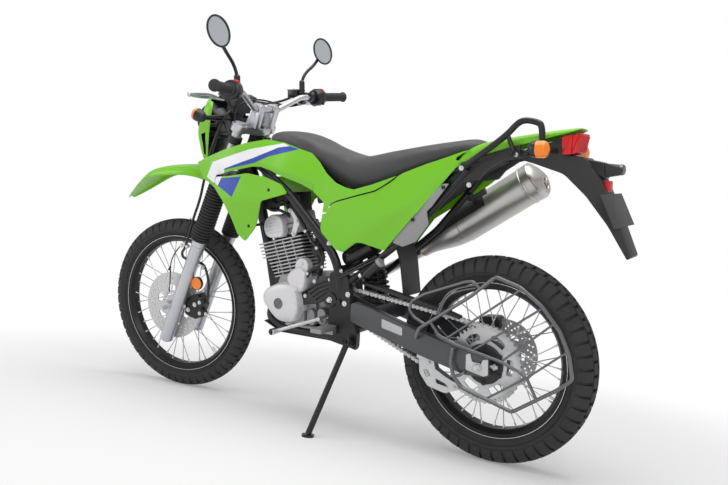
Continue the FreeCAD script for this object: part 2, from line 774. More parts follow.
cowl_levels = [(-104, 186, 48, 138), (-50, 226, 62, 138), (-20, 244, 76, 138), (10, 263, 96, 128),
               (60, 267, 110, 134), (112, 266, 104, 160), (138, 256, 84, 180)]
cowl = loft([cowl_ring(*level) for level in cowl_levels], True)
lamp_low, lamp_high, lamp_half = 22, 92, 58
lamp_front, lamp_back = 262, 240
play = float(gap)
lamp_hole = Part.makeBox(60, 2 * lamp_half, lamp_high - lamp_low, Vector(225, -lamp_half, lamp_low))
cowl_shape = cowl.cut(lamp_hole)
keep("headlight_cowl", feature("headlight_cowl", cowl_shape), steered=True)
lens = Part.makeBox(lamp_front - lamp_back, 2 * (lamp_half - play), lamp_high - lamp_low - 2 * play,
                    Vector(lamp_back, play - lamp_half, lamp_low + play))
keep("headlight", feature("headlight", lens), steered=True)

# One bracket from rings on the fork tubes holds the lamp's bucket, the cowl and the instruments
lamp_middle = (lamp_low + lamp_high) / 2
bar_x, bar_z, bar_half = 118, 94, 78
bracket = [Part.makeCone(lamp_half - 1, 34, 54, Vector(lamp_back - play, 0, lamp_middle), Vector(-1, 0, 0)),
           Part.makeCylinder(6, 2 * bar_half, Vector(bar_x, -bar_half, bar_z), across),
           Part.makeBox(24, 40, 50, Vector(100, -20, 84)),
           Part.makeBox(30, 120, 66, Vector(96, -60, 130))]
for side in (1, -1):
    ring_place = vec((S.fork_lead, side * float(S.fork_side), 40))
    bracket.append(Part.makeCylinder(float(S.fork_tube_radius) + 8, 26, ring_place))
    bracket.append(tube([(48, side * 88, 53), (bar_x, side * 68, bar_z), (190, side * 24, lamp_middle)], 6, 30))
    stud = Part.makeCylinder(7, 60, Vector(150, side * 60, lamp_middle), Vector(0, side, 0))
    bracket.append(trimmed(stud, cowl_shape, Vector(0, side, 0), Vector(150, side * 60, lamp_middle)))
    bracket.append(tube([(150, side * 66, lamp_middle), (150, side * 44, 76)], 6))
bracket_shape = bracket[0].fuse(bracket[1:])
for side in (1, -1):
    bracket_shape = bracket_shape.cut(Part.makeCylinder(
        float(S.fork_tube_radius + gap), 60, vec((S.fork_lead, side * float(S.fork_side), 20))))
keep_shapes("instrument_panel", bracket_shape.Solids, True)

signals = []
lenses = []
signal_side = 186
for side in (1, -1):
    stalk = Part.makeCylinder(9, signal_side - bar_half - play, Vector(bar_x, side * (bar_half + play), bar_z),
                              Vector(0, side, 0))
    shell = Part.makeCone(14, float(S.signal_radius), 38, Vector(108, side * signal_side, bar_z),
                          Vector(1, 0, 0))
    signals.append(stalk.fuse(shell))
    lenses.append(Part.makeCone(float(S.signal_radius), float(S.signal_radius) - 4, 14,
                                Vector(146 + play, side * signal_side, bar_z), Vector(1, 0, 0)))
keep_shapes("front_signals", signals, True)
keep_shapes("front_signal_lenses", lenses, True)

# Front fender: a ridged blade lofted from beak to heel

fender_wall = 5.0


def fender_ring(station):
    """One station of the blade: where it is along the bike, its ridge's height, half-width and drop."""
    lead, ridge, side, drop = station
    rows = []
    for inset in (0.0, 1.0):
        top, half, fall = ridge - fender_wall * inset, side - inset, drop - inset
        rows.append([(lead, half, top - fall), (lead, half * 0.72, top - fall * 0.25), (lead, 0, top),
                     (lead, -half * 0.72, top - fall * 0.25), (lead, -half, top - fall)])
    return rows[0] + rows[1][::-1]


clamp_seat = float(clamp_low_bottom - gap)
fender_stations = [(478, -406, 22, 16), (420, -303, 62, 34), (352, -207, 84, 44), (262, -158, 88, 42),
                   (180, -118, 78, 42), (104, clamp_seat, 56, 34), (60, clamp_seat, 50, 22),
                   (-60, clamp_seat - 6, 46, 22)]
keep("front_fender", feature("front_fender", loft([fender_ring(s) for s in fender_stations], True)),
     steered=True)

# Front brake and axle

disc_slot = S.disc_thickness / 2 + 2.5
caliper = slab([(S.axle_lead - 136, -S.axle_drop + 14, 14), (S.axle_lead - 142, -S.axle_drop + 82, 16),
                (S.axle_lead - 100, -S.axle_drop + 112, 14), (S.axle_lead - 70, -S.axle_drop + 84, 10),
                (S.axle_lead - 74, -S.axle_drop + 6, 10)], S.front_disc_side - 22, S.front_disc_side + 20)
slot = Part.makeCylinder(float(S.front_disc_radius) + 3, 2 * float(disc_slot),
                         vec((S.axle_lead, S.front_disc_side - disc_slot, -S.axle_drop)), across)
slider_core = Part.makeCylinder(float(S.slider_radius + gap), 200,
                                vec((S.fork_lead, S.fork_side, -S.axle_drop - 20)))
hanger = Part.makeBox(44, 12, 40, vec((S.axle_lead - 84, S.front_disc_side + 8, -S.axle_drop + 30)))
keep("front_brake", feature("front_brake", caliper.cut(slot).fuse(hanger.cut(slider_core))), steered=True)
axle_half = S.fork_side + S.axle_lug_half + 8
axle_shaft = Part.makeCylinder(float(S.axle_radius), 2 * float(axle_half),
                               vec((S.axle_lead, -axle_half, -S.axle_drop)), across)
axle_stub = Part.makeCylinder(float(S.stub_radius), float(S.stub_length),
                              vec((S.axle_lead, axle_half, -S.axle_drop)), across)
keep("front_axle", feature("front_axle", axle_shaft.fuse(axle_stub)), steered=True)

# Frame: a steering head, twin spars that spread round the engine, a down tube, a cradle and pivot plates

cx, cz = float(S.crank_x), float(S.crank_z)
case_half = float(S.case_half_width)
case = slab([(cx + 86, cz + 30, 20), (cx + 60, cz + 88, 10), (cx - 60, cz + 100, 14), (cx - 184, cz + 100, 30),
             (cx - 196, cz + 20, 20), (cx - 178, cz - 56, 20), (cx + 30, cz - 82, 30), (cx + 82, cz - 30, 30)],
            -case_half, case_half)
chain_room = Part.makeBox(200, 60, 300, vec((cx - 300, S.rear_case_half, cz - 150)))
case = case.cut(chain_room)

head_tube = Part.makeCylinder(float(S.head_tube_radius), float(S.head_tube_length),
                              fork_frame.multVec(vec((0, 0, -head_half))), upward)
head_bore = Part.makeCylinder(float(S.stem_radius + S.axle_gap), float(S.head_tube_length) + 20,
                              fork_frame.multVec(vec((0, 0, -head_half - 10))), upward)
backbone_route = [(322, 0, 930), (150, 0, 900), (-60, 0, 790), (-165, 0, 560)]
plate_outer = S.plate_inner + S.plate_thickness


def spar_route(side):
    return [(330, side * 14, 925), (210, side * 84, 896), (61, side * 118, 812), (-90, side * 120, 669),
            (-150, side * 118, 600), (-165, side * 108, 500)]


def frame_tubes(room):
    """The main tubes, made thicker by some room where they cut their way through other pieces."""
    spars = [tube(spar_route(side), S.spar_radius + room, [60, 150, 150, 150]) for side in (1, -1)]
    backbone = tube(backbone_route, S.backbone_radius + room, [120, 200])
    return spars + [backbone]


down_tube = tube([(346, 0, 915), (308, 0, 832), (232, 0, 560), (205, 0, 430)], S.down_tube_radius, [200, 300])
frame_pieces = frame_tubes(0) + [down_tube]
stand_pivot = vec((S.stand_x, S.stand_side, S.stand_z))
fold_axis = Vector(0.153, 0.891, 0.428).normalize()
for side in (1, -1):
    rail = tube([(205, side * 8, 436), (190, side * 55, 350), (120, side * 62, 322), (-110, side * 70, 322),
                 (-165, side * 100, 345)], S.cradle_radius, [40, 60, 60])
    plate = [(-124, 560, 20), (-200, 545, 20), (-214, 430, 20), (-204, 322, 16), (-118, 322, 16), (-124, 420, 30)]
    if side > 0:
        plate[3:4] = [(-238, 356, 16), (-236, 304, 10), (-180, 312, 16)]
    level = float(S.plate_inner) if side > 0 else -float(plate_outer)
    frame_pieces += [rail, slab(plate, level, level + float(S.plate_thickness))]
    frame_pieces.append(Part.makeCylinder(6, 60, Vector(-205, side * 15, 655), Vector(0, -side, 0))
                        .common(Part.makeBox(20, 42, 20, Vector(-215, -21, 645))))
    frame_pieces.append(slab([(-120, 690, 8), (-120, 630, 8), (-203, 641, 12), (-218, 655, 12), (-203, 669, 12)],
                             side * 18 - 3, side * 18 + 3))
for x, z in ((-170, 345), (-152, 560)):
    frame_pieces.append(Part.makeCylinder(14, 2 * float(S.plate_inner) + 20,
                                          vec((x, -S.plate_inner - 10, z)), across))
frame_pieces.append(Part.makeCylinder(float(S.pivot_bolt_radius), 2 * float(plate_outer) + 12,
                                      vec((S.pivot_x, -plate_outer - 6, S.pivot_z)), across))
for x, side_way in ((-70, 1), (-70, -1), (70, 1), (70, -1)):
    root = Vector(x, side_way * 66, 320)
    frame_pieces.append(trimmed(Part.makeCylinder(10, 40, root), case, Vector(0, 0, 1), root))
front_mount = slab([(226, 505, 10), (130, 480, 4), (130, 440, 4), (214, 425, 10)], -16, 16)
frame_pieces.append(trimmed(front_mount, case, Vector(-1, 0, 0), Vector(215, 0, 460)))
stand_lug = 34
lug_start = stand_pivot - fold_axis * (float(S.stand_eye_width) / 2 + 0.5 + stand_lug)
frame_pieces.append(Part.makeCylinder(float(S.stand_eye_radius) - 2, stand_lug, lug_start, fold_axis))
frame_pieces.append(Part.makeCylinder(float(S.stand_pin_radius), stand_lug + float(S.stand_eye_width) + 5,
                                      lug_start, fold_axis))
frame_shape = head_tube.fuse(frame_pieces).cut(head_bore).removeSplitter()
keep("frame", feature("frame", frame_shape))

# Subframe: two rails under the seat and two struts up from the pivot plates


def rail_route(side):
    return [(-60, side * 100, 790), (-160, side * 82, 812), (-400, side * 78, 862), (-640, side * 70, 930),
            (-790, side * 58, 962)]


def seat_rail(side, room):
    return tube(rail_route(side), S.rail_radius + room, [120, 300, 300])


subframe_pieces = []
for side in (1, -1):
    subframe_pieces.append(seat_rail(side, 0))
    subframe_pieces.append(tube([(-190, side * 106, 520), (-420, side * 84, 700), (-606, side * 76, 908)],
                                S.rail_radius, 200))
cross_x, cross_z, cross_radius = -598, 902, 9
subframe_pieces.append(Part.makeCylinder(cross_radius, 150, Vector(cross_x, -75, cross_z), across))
subframe_pieces.append(Part.makeCylinder(10, 156, Vector(-300, -78, 841), across))
subframe_shape = subframe_pieces[0].fuse(subframe_pieces[1:])
subframe_shape = subframe_shape.cut(head_tube.fuse(frame_pieces)).removeSplitter()
keep_shapes("subframe", [max(subframe_shape.Solids, key=lambda solid: solid.Volume)])

# Swingarm: box arms outside the chain, bridged ahead of the tyre and carried on the pivot bolt

arm_outer = S.swingarm_inner + S.swingarm_thickness
bridge_back, bridge_front, bridge_low, bridge_high = -292, -250, 392, 450
swing = []
for side in (1, -1):
    inner, outer = side * float(S.swingarm_inner), side * float(arm_outer)
    swing.append(slab([(-222, 462, 10), (-285, 455, 10), (-453, 407, 30), (-600, 372, 30), (-712, 352, 8),
                       (-717, 296, 8), (-640, 292, 20), (-480, 328, 20), (-259, 388, 20), (-222, 400, 10)],
                      inner, outer))
    swing.append(slab([(bridge_back + 4, 396, 6), (bridge_back + 4, 448, 6), (-180, 476, 14), (-148, 470, 10),
                       (-148, 440, 10), (-180, 434, 14)], side * 50, side * 70))
    swing.append(slab([(-288, 440, 4), (-276, 472, 8), (-262, 484, 12), (-248, 472, 8), (-252, 440, 4)],
                      side * 18 - 3, side * 18 + 3))
swing.append(Part.makeBox(bridge_front - bridge_back, 2 * float(S.swingarm_inner) + 2, bridge_high - bridge_low,
                          vec((bridge_back, -S.swingarm_inner - 1, bridge_low))))
swing.append(Part.makeCylinder(float(S.pivot_tube_radius), 2 * float(S.plate_inner - gap),
                               vec((S.pivot_x, gap - S.plate_inner, S.pivot_z)), across))
swing.append(Part.makeCylinder(6, 42, Vector(-262, -21, 470), across))
swing_cuts = [
    Part.makeCylinder(float(S.axle_radius + gap), 400, vec((S.rear_axle_x, -200, S.rear_axle_z)), across),
    Part.makeCylinder(float(S.pivot_bolt_radius + gap), 300, vec((S.pivot_x, -150, S.pivot_z)), across),
]
swing_shape = swing[0].fuse(swing[1:]).cut(swing_cuts)
keep("swingarm", feature("swingarm", swing_shape))
rear_half = arm_outer + 8
keep("rear_axle", feature("rear_axle", Part.makeCylinder(
    float(S.axle_radius), 2 * float(rear_half), vec((S.rear_axle_x, -rear_half, S.rear_axle_z)), across)))

# Rear brake: a caliper astride the disc, carried on the arm's inner face

caliper_low = slab([(-668, 345, 10), (-668, 440, 14), (-598, 434, 14), (-604, 345, 10)],
                   gap - S.swingarm_inner, -S.rear_disc_side - disc_slot)
caliper_high = slab([(-668, 396, 6), (-668, 440, 14), (-598, 434, 14), (-600, 398, 6)],
                    gap - S.swingarm_inner, -S.rear_disc_side + 24)
disc_room = Part.makeCylinder(float(S.rear_disc_radius) + 3, 2 * float(disc_slot),
                              vec((S.rear_axle_x, -S.rear_disc_side - disc_slot, S.rear_axle_z)), across)
keep("rear_brake", feature("rear_brake", caliper_low.fuse(caliper_high).cut(disc_room)))

# Rear shock absorber between the frame's clevis and the swingarm's

shock_top, shock_foot = Vector(-205, 0, 655), Vector(-262, 0, 470)
shock_way = (shock_foot - shock_top).normalize()
shock = [Part.makeCylinder(13, 2 * (15 - play), end - across * (15 - play), across)
         for end in (shock_top, shock_foot)]
shock.append(Part.makeCylinder(9, (shock_foot - shock_top).Length, shock_top, shock_way))
shock.append(Part.makeCylinder(35, 138, shock_top + shock_way * 24, shock_way))
eye_bores = [Part.makeCylinder(6 + play, 60, end - across * 30, across) for end in (shock_top, shock_foot)]
keep("rear_shock", feature("rear_shock", shock[0].fuse(shock[1:]).cut(eye_bores)))

# Engine: the crankcase block, the finned barrel and head, and the side covers

keep("engine_case", feature("engine_case", case))

barrel_frame = Placement(Vector(cx + 8, 0, cz + 70), Rotation(across, float(S.barrel_tilt)))
fins = []
count = round(float(S.fin_count))
for i in range(count):
    grow = i / (count - 1)
    length, breadth = 112 + 76 * grow, 120 + 40 * grow
    fins.append(Part.makeBox(length, breadth, float(S.fin_thickness),
                             Vector(-length / 2 - 6 * grow, -breadth / 2, 26 + float(S.fin_pitch) * i)))
core = Part.makeCylinder(48, 200, Vector(0, 0, -2))
head_front = 70
head_block = Part.makeBox(head_front + 80, 120, 46, Vector(-80, -60, 166))
cam_box = Part.makeBox(126, 150, 58, Vector(-60, -72, 190))
cam_cap = Part.makeCylinder(40, 14, Vector(31, 78, 209), across)
barrel_shape = core.fuse(fins + [head_block, cam_box, cam_cap])
barrel_shape.Placement = barrel_frame
case_seat = case.copy()
case_seat.translate(Vector(0, 0, play))
barrel_shape = barrel_shape.cut(case_seat)
keep("engine_barrel", feature("engine_barrel", max(barrel_shape.Solids, key=lambda solid: solid.Volume)))

cover_seat = case_half + play
left_cover = cylinder_y(cx + 11, cz + 2, 76, cover_seat, cover_seat + 62)
starter = cylinder_y(cx - 48, cz + 95, 39, cover_seat, cover_seat + 44)
clutch = cylinder_y(cx - 10, cz - 2, 84, -cover_seat - 46, -cover_seat)
keep_shapes("engine_covers", [left_cover.fuse(starter), clutch])

# Chain: two plates round the sprockets and the rollers between them on the straight runs

teeth = round(float(S.sprocket_teeth))
small_teeth = 13
pitch_radius = float(S.chain_pitch) / (2 * math.sin(math.pi / teeth))
small_radius = float(S.chain_pitch) / (2 * math.sin(math.pi / small_teeth))
drive_centre = Vector(-98, 0, 478)
chain_line = rear_axle - drive_centre
chain_slope = math.atan2(drive_centre.z - rear_axle.z, drive_centre.x - rear_axle.x)
chain_spread = math.acos((pitch_radius - small_radius) / chain_line.Length)
chain_y = float(S.chain_side)
plate_in, plate_out = 4.5, 6.5


def on_ring(centre, radius, angle, level):
    return Vector(centre.x + radius * math.cos(angle), level, centre.z + radius * math.sin(angle))


def chain_loop(grow, level):
    """The line through the chain's pins, moved out by some growth: straight from pin to pin."""
    points = []
    for centre, radius, start, stop, links in (
            (rear_axle, pitch_radius, chain_slope + chain_spread, chain_slope + 2 * math.pi - chain_spread, teeth),
            (drive_centre, small_radius, chain_slope - chain_spread, chain_slope + chain_spread, small_teeth)):
        steps = max(2, round((stop - start) / (4 * math.pi / links)))
        for i in range(steps + 1):
            points.append(on_ring(centre, radius + grow, start + (stop - start) * i / steps, level))
    return Part.Face(Part.makePolygon(points + points[:1]))


def chain_plate(level, thickness):
    return chain_loop(7, level).cut(chain_loop(-7, level)).extrude(across * thickness)


chain_pieces = [chain_plate(chain_y + plate_in, plate_out - plate_in),
                chain_plate(chain_y - plate_out, plate_out - plate_in)]
run_length = math.sqrt(chain_line.Length ** 2 - (pitch_radius - small_radius) ** 2)
for turn in (1, -1):
    angle = chain_slope + turn * chain_spread
    start = on_ring(rear_axle, pitch_radius, angle, chain_y)
    stop = on_ring(drive_centre, small_radius, angle, chain_y)
    way = (stop - start).normalize()
    side_way = way.cross(across)
    reach = 4 * float(S.chain_pitch)
    while reach < run_length - 1.5 * float(S.chain_pitch):
        middle = start + way * reach
        ring = [middle + way * a + side_way * b - across * (plate_in + 0.5)
                for a, b in ((-4, 0), (0, 4), (4, 0), (0, -4), (-4, 0))]
        chain_pieces.append(Part.Face(Part.makePolygon(ring)).extrude(across * (2 * plate_in + 1)))
        reach += float(S.chain_pitch)
keep("chain", feature("chain", chain_pieces[0].fuse(chain_pieces[1:])))

drive_sprocket = cylinder_y(drive_centre.x, drive_centre.z, small_radius - 3, chain_y - plate_in + play,
                            chain_y + plate_in - play)
drive_shaft = cylinder_y(drive_centre.x, drive_centre.z, 13, S.rear_case_half + gap, chain_y + 9)
keep("front_sprocket", feature("front_sprocket", drive_sprocket.fuse(drive_shaft)))

cover_outline = [(-22, 446, 14), (-36, 505, 14), (-108, 533, 12), (-113, 470, 8), (-88, 424, 14)]
shell_inner = chain_y + 10
sprocket_cover = slab(cover_outline, shell_inner, shell_inner + 16)
front_wall = slab(cover_outline, cover_seat, shell_inner).common(
    Part.makeBox(60, 60, 200, Vector(-48, cover_seat, 400)))
grown = Part.makeCylinder(39 + play, 60, Vector(cx - 48, cover_seat - 1, cz + 95), across)
grown_left = Part.makeCylinder(76 + play, 80, Vector(cx + 11, cover_seat - 1, cz + 2), across)
keep("sprocket_cover", feature("sprocket_cover", sprocket_cover.fuse(front_wall).cut([grown, grown_left])))

# Exhaust: the header from the head's port round to the right, and an oblique muffler with an end cap

port_way = barrel_frame.Rotation.multVec(Vector(1, 0, 0))
port = barrel_frame.multVec(Vector(head_front + play, -34, 178))
muffler_y = -float(S.muffler_side)
joint = Vector(-345, muffler_y + 34, 622)
last_bend = Vector(-120, muffler_y + 12, 500)
entry_way = (joint - last_bend).normalize()
header_route = [port, port + port_way * 44, (264, -72, 596), (256, -126, 500), (190, muffler_y + 12, 440),
                last_bend, joint - entry_way * play]
keep("exhaust_header", feature("exhaust_header", tube(header_route, S.header_radius, [30, 50, 60, 60, 200])))

seam_place, cap_place = Vector(-463, muffler_y, 727), Vector(-767, muffler_y, 866)
way = (cap_place - seam_place).normalize()
can_end = cap_place - way * float(S.muffler_cap)
can = Part.makeCylinder(float(S.muffler_radius), (can_end - seam_place).Length, seam_place, way)
cap = Part.makeCone(float(S.muffler_radius), float(S.muffler_radius) - 16, float(S.muffler_cap), can_end, way)
outlet = Part.makeCylinder(17, 30, cap_place - way * 24, way)
entry = Part.Wire(Part.makeCircle(float(S.header_radius) + 4, joint, entry_way))
seam = Part.Wire(Part.makeCircle(float(S.muffler_radius), seam_place, way))
cone = Part.makeLoft([entry, seam], True, True)
band = Part.makeCylinder(float(S.muffler_radius) + 2, 16, seam_place + way * 150, way)
muffler_shape = can.fuse([cap, cone, band]).cut(outlet)
hanger_root = Vector(-545, muffler_y + 30, 800)
hanger = Part.makeCylinder(9, 120, hanger_root, Vector(0, 1, 0.05))
hanger = trimmed(hanger, subframe_shape, Vector(0, 1, 0), hanger_root)
keep("muffler", feature("muffler", muffler_shape.fuse(hanger)))

# Fuel tank, its shrouds, the side covers and the air box

tank = loft([
    [(288, 30, 890), (288, 36, 985), (288, -36, 985), (288, -30, 890)],
    [(200, 78, 915), (200, 90, 985), (200, -90, 985), (200, -78, 915)],
    [(60, 92, 850), (60, 100, 960), (60, -100, 960), (60, -92, 850)],
    [(-80, 84, 815), (-80, 92, 905), (-80, -92, 905), (-80, -84, 815)],
], True)
tube_room = frame_tubes(gap)
tank_cuts = tube_room + [seat_rail(side, gap) for side in (1, -1)]
tank_cuts.append(Part.makeCylinder(float(S.head_tube_radius) + 3, 300, fork_frame.multVec(Vector(0, 0, -150)),
                                   upward))
tank_shape = max(tank.cut(tank_cuts).Solids, key=lambda solid: solid.Volume)
keep("fuel_tank", feature("fuel_tank", tank_shape))

shroud_outline = [
    (448, 910, 6), (334, 954, 200), (238, 981, 80), (157, 996, 60), (12, 964, 60), (-75, 924, 60),
    (-121, 876, 60), (-165, 850, 60), (-224, 835, 8), (-121, 751, 20), (-89, 808, 60), (86, 870, 200),
    (190, 898, 60), (280, 884, 200), (356, 870), (353, 862), (288, 876, 60), (218, 876, 60), (149, 863, 100),
    (46, 811, 10), (154, 779, 14), (170, 684, 30), (225, 635, 8), (298, 714, 100), (366, 818, 60), (414, 854, 6),
]
shroud_rows = [
    [(480, 170, 600), (480, 170, 760), (480, 168, 880), (480, 164, 1010)],
    [(300, 168, 600), (300, 170, 760), (300, 164, 880), (300, 150, 1010)],
    [(80, 150, 600), (80, 152, 760), (80, 146, 880), (80, 118, 1010)],
    [(-240, 128, 600), (-240, 128, 760), (-240, 124, 880), (-240, 100, 1010)],
]


def row_surface(rows):
    surface = Part.BSplineSurface()
    surface.interpolate([[vec(p) for p in row] for row in rows])
    return surface.toShape()


shroud_skin = skin(shroud_outline, shroud_rows, S.panel)
inside = row_surface(shroud_rows).extrude(Vector(0, -90, 0))
shroud_pieces = [shroud_skin]
for x, z in ((110, 925), (-40, 860)):
    boss = cylinder_y(x, z, 8, 60, 220).common(inside)
    boss = trimmed(boss, tank_shape, Vector(0, -1, 0), Vector(x, 200, z))
    shroud_pieces.append(boss)
left_shroud = shroud_pieces[0].fuse(shroud_pieces[1:])
keep_shapes("shrouds", [left_shroud, mirrored(left_shroud)])

left_rows = [
    [(-60, 128, 600), (-60, 132, 760), (-60, 122, 880), (-60, 100, 1000)],
    [(-250, 130, 600), (-250, 130, 760), (-250, 116, 880), (-250, 100, 1000)],
    [(-450, 126, 600), (-450, 122, 760), (-450, 108, 880), (-450, 94, 1000)],
    [(-640, 118, 600), (-640, 112, 760), (-640, 98, 880), (-640, 84, 1000)],
]
right_rows = [
    [(-60, 128, 600), (-60, 132, 760), (-60, 122, 880), (-60, 100, 1000)],
    [(-250, 124, 600), (-250, 122, 760), (-250, 114, 880), (-250, 100, 1000)],
    [(-450, 108, 600), (-450, 106, 760), (-450, 102, 880), (-450, 94, 1000)],
    [(-640, 98, 600), (-640, 97, 760), (-640, 95, 880), (-640, 88, 1000)],
]
grab_x, grab_z, grab_y = -606, 921, 108
front_part = [(-226, 834, 10), (-300, 857, 40), (-388, 891, 60), (-479, 923, 60)]
lower_part = [(-337, 639, 10), (-245, 659, 30), (-184, 624, 20), (-126, 655, 20), (-94, 694, 14),
              (-106, 780, 20), (-122, 750, 6)]
left_outline = front_part + [(-617, 968, 10), (-580, 921, 10), (-438, 774, 60)] + lower_part
right_outline = front_part + [(-600, 958, 20), (-672, 938, 10), (-685, 921, 10), (-613, 861, 20),
                              (-406, 738, 20)] + lower_part
covers = []
for side, outline, rows in ((1, left_outline, left_rows), (-1, right_outline, right_rows)):
    panel = skin(outline, rows, S.panel)
    pieces = [panel]
    inside = row_surface(rows).extrude(Vector(0, -70, 0))
    for x, z in ((-400, 864), (-540, 900)):
        boss = cylinder_y(x, z, 7, 30, 180).common(inside)
        pieces.append(trimmed(boss, subframe_shape, Vector(0, -1, 0), Vector(x, 200, z)))
    cover = pieces[0].fuse(pieces[1:]).cut(cylinder_y(grab_x, grab_z, 9, 60, 140))
    covers.append(cover if side > 0 else mirrored(cover))
keep_shapes("side_covers", covers)

air_box = loft([
    [(-90, 66, 700), (-90, 70, 796), (-90, -70, 796), (-90, -66, 700)],
    [(-330, 62, 690), (-330, 66, 826), (-330, -66, 826), (-330, -62, 690)],
], True).cut(tube_room + [seat_rail(side, gap) for side in (1, -1)])
air_box = air_box.cut(Part.makeCylinder(10 + play, 200, Vector(-300, -100, 841), across))
keep("air_box", feature("air_box", max(air_box.Solids, key=lambda solid: solid.Volume)))

# Seat: a saddle lofted along the machine, on rubber feet that rest on the rails


def seat_section(x, top, base, half_top, half_base):
    return [(x, half_base, base), (x, half_top, base + 0.6 * (top - base)), (x, half_top * 0.6, top - 4),
            (x, 0, top), (x, -half_top * 0.6, top - 4), (x, -half_top, base + 0.6 * (top - base)),
            (x, -half_base, base)]


seat_stations = [(212, 1018, 992, 40, 48), (150, 1028, 990, 62, 84), (64, 1018, 968, 78, 98),
                 (-60, 972, 914, 92, 99), (-160, 942, 874, 104, 97), (-214, 937, 862, 108, 97),
                 (-324, 956, 876, 112, 92), (-480, 981, 930, 104, 86), (-636, 1000, 974, 70, 72)]
seat = loft([seat_section(*station) for station in seat_stations], True)
seat_pieces = [seat]
for side in (1, -1):
    for x, y, z in ((-340, 78, 890), (-560, 73, 955)):
        foot = Part.makeCylinder(8, 90, Vector(x, side * y, z), Vector(0, 0, -1))
        seat_pieces.append(trimmed(foot, seat_rail(side, 0), Vector(0, 0, -1), Vector(x, side * y, z)))
seat_shape = seat_pieces[0].fuse(seat_pieces[1:])
tank_seat = tank_shape.copy()
tank_seat.translate(Vector(0, 0, play))
seat_shape = max(seat_shape.cut(tank_seat).Solids, key=lambda solid: solid.Volume)
keep("seat", feature("seat", seat_shape))

# Tail: the cover, its lamp, the plate carrier, the rear signals, the rail to hold on to and the fender

tail = loft([
    [(-638, 62, 966), (-638, 58, 996), (-638, -58, 996), (-638, -62, 966)],
    [(-760, 64, 984), (-760, 56, 1012), (-760, -56, 1012), (-760, -64, 984)],
    [(-880, 56, 1016), (-880, 48, 1034), (-880, -48, 1034), (-880, -56, 1016)],
    [(-945, 46, 1030), (-945, 40, 1036), (-945, -40, 1036), (-945, -46, 1030)],
], True)
tail = tail.cut(seat_shape)
tail_pieces = [max(tail.Solids, key=lambda solid: solid.Volume)]
for side in (1, -1):
    post = Part.makeCylinder(7, 90, Vector(-730, side * 60, 990), Vector(0, 0, -1))
    tail_pieces.append(trimmed(post, seat_rail(side, 0), Vector(0, 0, -1), Vector(-730, side * 60, 990)))
keep("tail_cover", feature("tail_cover", tail_pieces[0].fuse(tail_pieces[1:])))

carrier_half = 44
carrier_outline = [(-700, 958, 10), (-800, 976, 20), (-884, 1004, 4), (-888, 958), (-950, 950, 6), (-962, 940, 6),
                   (-1000, 890, 20), (-1019, 848), (-1060, 757), (-1092, 676, 6), (-1082, 668, 4),
                   (-1025, 760, 200), (-961, 840, 80), (-894, 902, 60), (-804, 930, 20)]
carrier = slab(carrier_outline, -carrier_half, carrier_half)
signal_bar_half = 150
signal_bar = Part.makeCylinder(7, 2 * signal_bar_half, Vector(-868, -signal_bar_half, 969), across)
lamp_arm = slab([(-905, 944, 4), (-999, 937, 6), (-1057, 921, 6), (-1049, 904, 6), (-996, 894, 10)], -20, 20)
carrier_lugs = []
for side in (1, -1):
    root = Vector(-782, side * 30, 959)
    carrier_lugs.append(trimmed(Part.makeCylinder(6, 60, root, Vector(0, side, 0)), subframe_shape,
                                Vector(0, side, 0), root))
carrier_shape = carrier.fuse([signal_bar, lamp_arm] + carrier_lugs)
keep("plate_carrier", feature("plate_carrier", carrier_shape))
lamp = slab([(-884.8, 1008, 4), (-958, 1021, 6), (-946, 950.9), (-888.6, 958.4)], -52, 52)
keep("tail_lamp", feature("tail_lamp", lamp))
signal_bodies = []
signal_lenses = []
rear_signal_z = 969
for side in (1, -1):
    shell = Part.makeCone(14, float(S.signal_radius), 38, Vector(-846, side * signal_side, rear_signal_z),
                          Vector(-1, 0, 0))
    stalk = Part.makeCylinder(7, signal_side - signal_bar_half - play,
                              Vector(-868, side * (signal_bar_half + play), rear_signal_z), Vector(0, side, 0))
    signal_bodies.append(shell.fuse(stalk))
    signal_lenses.append(Part.makeCone(float(S.signal_radius), float(S.signal_radius) - 4, 14,
                                       Vector(-884 - play, side * signal_side, rear_signal_z),
                                       Vector(-1, 0, 0)))
keep_shapes("rear_signals", signal_bodies)
keep_shapes("rear_signal_lenses", signal_lenses)

plate_foot, plate_head = Vector(-1060, 0, 757), Vector(-1019, 0, 848)
plate_way = (plate_head - plate_foot).normalize()
plate_lean = math.degrees(math.atan2(plate_way.x, plate_way.z))
plate_turn = Rotation(across, plate_lean)
plate_depth = 2.5
number_plate = Part.makeBox(plate_depth, float(S.plate_width), float(S.plate_height),
                            Vector(-plate_depth - play, -float(S.plate_width) / 2, 0))
keep("number_plate", feature("number_plate", number_plate), Placement(plate_foot, plate_turn))

hoop = [tube([(-600, grab_y, 912), (-672, 106, 963), (-775, 74, 1056), (-775, -74, 1056), (-672, -106, 963),
              (-600, -grab_y, 912)], 10, [60, 26, 26, 60])]
for side in (1, -1):
    lug_root = Vector(grab_x, side * grab_y, grab_z)
    lug = Part.makeCylinder(8, 70, lug_root, Vector(0, -side, 0))
    hoop.append(trimmed(lug, subframe_shape, Vector(0, -side, 0), lug_root))
    hoop.append(tube([(-738, side * 84, 1022), (-764, side * 84, 958)], 6))
    lug = Part.makeCylinder(7, 60, Vector(-764, side * 84, 958), Vector(0, -side, 0))
    hoop.append(trimmed(lug, seat_rail(side, 0), Vector(0, -side, 0), Vector(-764, side * 84, 958)))
keep("grab_rail", feature("grab_rail", hoop[0].fuse(hoop[1:])))

